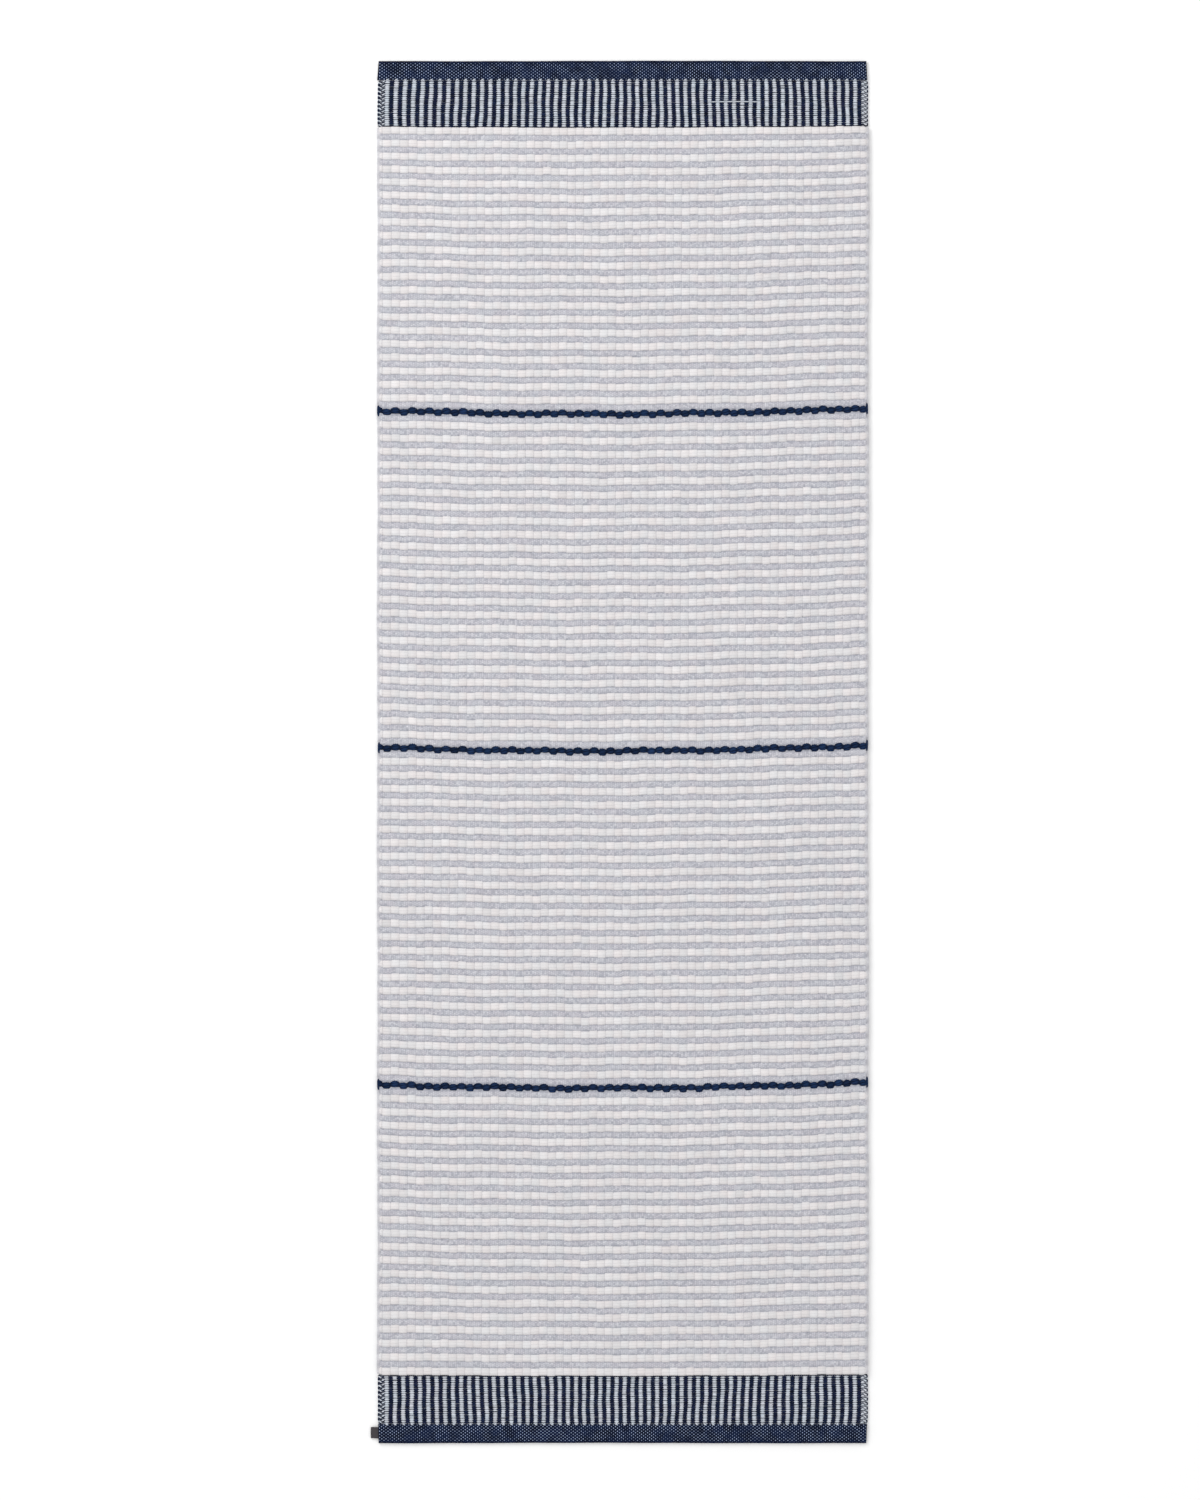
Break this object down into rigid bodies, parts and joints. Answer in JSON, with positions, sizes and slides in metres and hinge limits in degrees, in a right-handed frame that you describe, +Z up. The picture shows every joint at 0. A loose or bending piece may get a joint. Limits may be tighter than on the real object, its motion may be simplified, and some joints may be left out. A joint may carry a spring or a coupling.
{
  "type": "runner rug",
  "caption": "Flat woven wool runner rug with rows of thick white and fine grey weft, navy accent lines, striped end borders, turned hems and a folded side label",
  "frame": {"origin": "centre of the woven width and length, on the surface that the rug lies on", "axes": "+X runs across the rug, to the right as seen from above with the head end up; +Y runs along it to the head end; +Z is up, out of the face"},
  "size_m": [0.862, 2.4, 0.01],
  "materials": {
    "white_wool": "thick off-white wool weft in raised rows of blocks",
    "grey_wool": "fine grey wool weft, densely ribbed",
    "navy_wool": "dark navy wool weft",
    "light_wool": "pale grey wool weft of the striped borders",
    "hem_wool": "navy plain weave with fine light flecks",
    "warp_yarn": "pale spun cotton warp, hidden in the weft",
    "sewing_thread": "dark navy sewing thread",
    "label_ribbon": "charcoal woven ribbon, plain"
  },
  "bodies": {
    "rug": {"field_1_thick_weft": "white_wool", "field_1_fine_weft": "grey_wool", "field_2_thick_weft": "white_wool", "field_2_fine_weft": "grey_wool", "field_3_thick_weft": "white_wool", "field_3_fine_weft": "grey_wool", "field_4_thick_weft": "white_wool", "field_4_fine_weft": "grey_wool", "accent_line_1": "navy_wool", "accent_line_2": "navy_wool", "accent_line_3": "navy_wool", "head_border_dark_weft": "navy_wool", "head_border_light_weft": "light_wool", "head_hem_cloth": "hem_wool", "head_hem_stitches": "sewing_thread", "head_hem_side_stitches": "sewing_thread", "foot_border_dark_weft": "navy_wool", "foot_border_light_weft": "light_wool", "foot_hem_cloth": "hem_wool", "foot_hem_stitches": "sewing_thread", "foot_hem_side_stitches": "sewing_thread", "warp_threads": "warp_yarn", "left_selvedge_threads": "warp_yarn", "right_selvedge_threads": "warp_yarn", "label_tail": "label_ribbon"},
    "label": {"label_tab": "label_ribbon"}
  },
  "joints": [
    {"name": "label_flap", "type": "hinge", "parent": "rug", "child": "label", "pos_m": [-0.4242, -1.182, 0.00305], "axis": [0, 1, 0], "range_deg": [-11, 90], "stiffness_Nm_per_rad": 0.0005}
  ]
}
